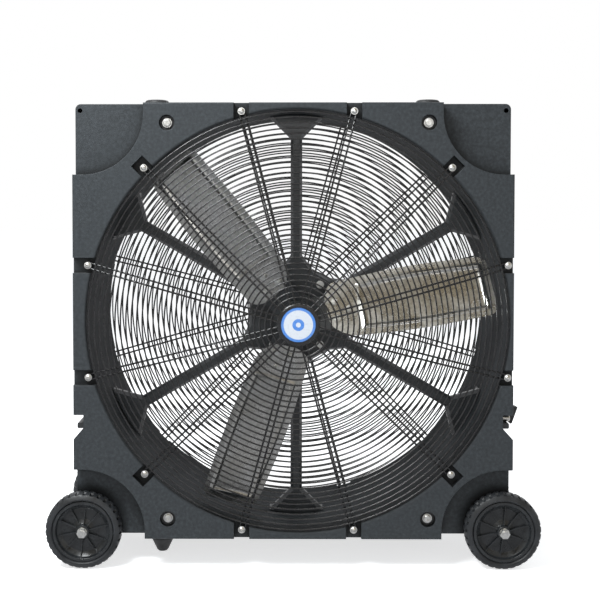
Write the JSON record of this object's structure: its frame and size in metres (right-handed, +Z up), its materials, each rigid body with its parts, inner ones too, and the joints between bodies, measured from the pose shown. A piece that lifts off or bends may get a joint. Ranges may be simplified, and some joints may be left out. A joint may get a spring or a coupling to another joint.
{
  "type": "axial air mover",
  "caption": "Portable 42-inch axial fan: square moulded housing on wheels, round duct with domed wire guards, three-blade direct-drive propeller on a spider frame.",
  "frame": {"origin": "under the middle of the housing, on the floor that the wheels stand on", "axes": "+Z up, -Y the front where the air leaves, +X to the right seen from the front"},
  "size_m": [1.266, 0.532, 1.2071],
  "materials": {
    "housing_poly": "fine textured, satin",
    "guard_wire": "gloss black powder coat",
    "zinc": "bright zinc",
    "badge_blue": "gloss",
    "frame_paint": "satin black powder coat",
    "motor_paint": "satin black",
    "steel": "ground",
    "copper": "varnished winding",
    "capacitor_can": "satin",
    "blade_metal": "mill finish",
    "tyre": "moulded",
    "wheel_plastic": "semi gloss",
    "rubber": "matte",
    "nickel": "nickel plated",
    "trim_plastic": "satin"
  },
  "bodies": {
    "housing": {"axle_nuts": "zinc", "axle_spacers": "zinc", "badge_disc": "badge_blue", "cable_gland": "nickel", "capacitor_strap": "motor_paint", "clamp_bolts": "zinc", "clamp_grommets": "rubber", "clamp_nuts_and_washers": "zinc", "cleat_bracket": "frame_paint", "cleat_pin": "zinc", "control_plate": "trim_plastic", "foot_sleeve": "trim_plastic", "front_bearing": "steel", "front_guard_centre_plate": "guard_wire", "front_guard_rings": "guard_wire", "front_guard_screws": "zinc", "front_guard_spokes": "guard_wire", "front_housing_shell": "housing_poly", "gland_nut": "nickel", "left_axle": "zinc", "left_side_rail": "frame_paint", "motor_front_bell": "motor_paint", "motor_mount_bolts": "zinc", "motor_rear_bell": "motor_paint", "motor_shell": "motor_paint", "motor_spider": "frame_paint", "rear_bearing": "steel", "rear_guard_centre_plate": "guard_wire", "rear_guard_rings": "guard_wire", "rear_guard_screws": "zinc", "rear_guard_spokes": "guard_wire", "rear_housing_shell": "housing_poly", "right_axle": "zinc", "right_side_rail": "frame_paint", "run_capacitor": "capacitor_can", "speed_switch": "trim_plastic", "spider_bolts": "zinc", "stacking_studs": "rubber", "stator_core": "steel", "stator_windings": "copper"},
    "rotor": {"motor_shaft": "steel", "rotor_core": "steel", "fan_hub": "frame_paint", "blade_1": "blade_metal", "blade_2": "blade_metal", "blade_3": "blade_metal", "blade_bolts": "zinc", "hub_screw_and_washer": "zinc"},
    "front_left_wheel": {"front_left_tyre": "tyre", "front_left_wheel_hub": "wheel_plastic"},
    "front_right_wheel": {"front_right_tyre": "tyre", "front_right_wheel_hub": "wheel_plastic"},
    "rear_left_wheel": {"rear_left_tyre": "tyre", "rear_left_wheel_hub": "wheel_plastic"},
    "rear_right_wheel": {"rear_right_tyre": "tyre", "rear_right_wheel_hub": "wheel_plastic"},
    "cleat": {"cord_cleat": "trim_plastic"},
    "foot": {"parking_foot": "rubber", "foot_stem": "zinc"},
    "knob": {"speed_knob": "trim_plastic"}
  },
  "joints": [
    {"name": "fan_spin", "type": "hinge", "parent": "housing", "child": "rotor", "pos_m": [0.012, -0.092, 0.633], "axis": [0, -1, 0], "continuous": true},
    {"name": "front_left_wheel_spin", "type": "hinge", "parent": "housing", "child": "front_left_wheel", "pos_m": [-0.536, -0.1825, 0.097], "axis": [0, 1, 0], "continuous": true},
    {"name": "front_right_wheel_spin", "type": "hinge", "parent": "housing", "child": "front_right_wheel", "pos_m": [0.536, -0.1825, 0.097], "axis": [0, 1, 0], "continuous": true},
    {"name": "rear_left_wheel_spin", "type": "hinge", "parent": "housing", "child": "rear_left_wheel", "pos_m": [-0.536, 0.1825, 0.097], "axis": [0, 1, 0], "continuous": true},
    {"name": "rear_right_wheel_spin", "type": "hinge", "parent": "housing", "child": "rear_right_wheel", "pos_m": [0.536, 0.1825, 0.097], "axis": [0, 1, 0], "continuous": true},
    {"name": "cleat_swing", "type": "hinge", "parent": "housing", "child": "cleat", "pos_m": [0.55, -0.135, 0.3855], "axis": [0, 1, 0], "range_deg": [0, 60]},
    {"name": "foot_slide", "type": "slide", "parent": "housing", "child": "foot", "axis": [0, 0, 1], "range_m": [0, 0.025]},
    {"name": "speed_turn", "type": "hinge", "parent": "housing", "child": "knob", "pos_m": [0.492, 0.2036, 0.29], "axis": [0, 1, 0], "range_deg": [0, 90]}
  ]
}
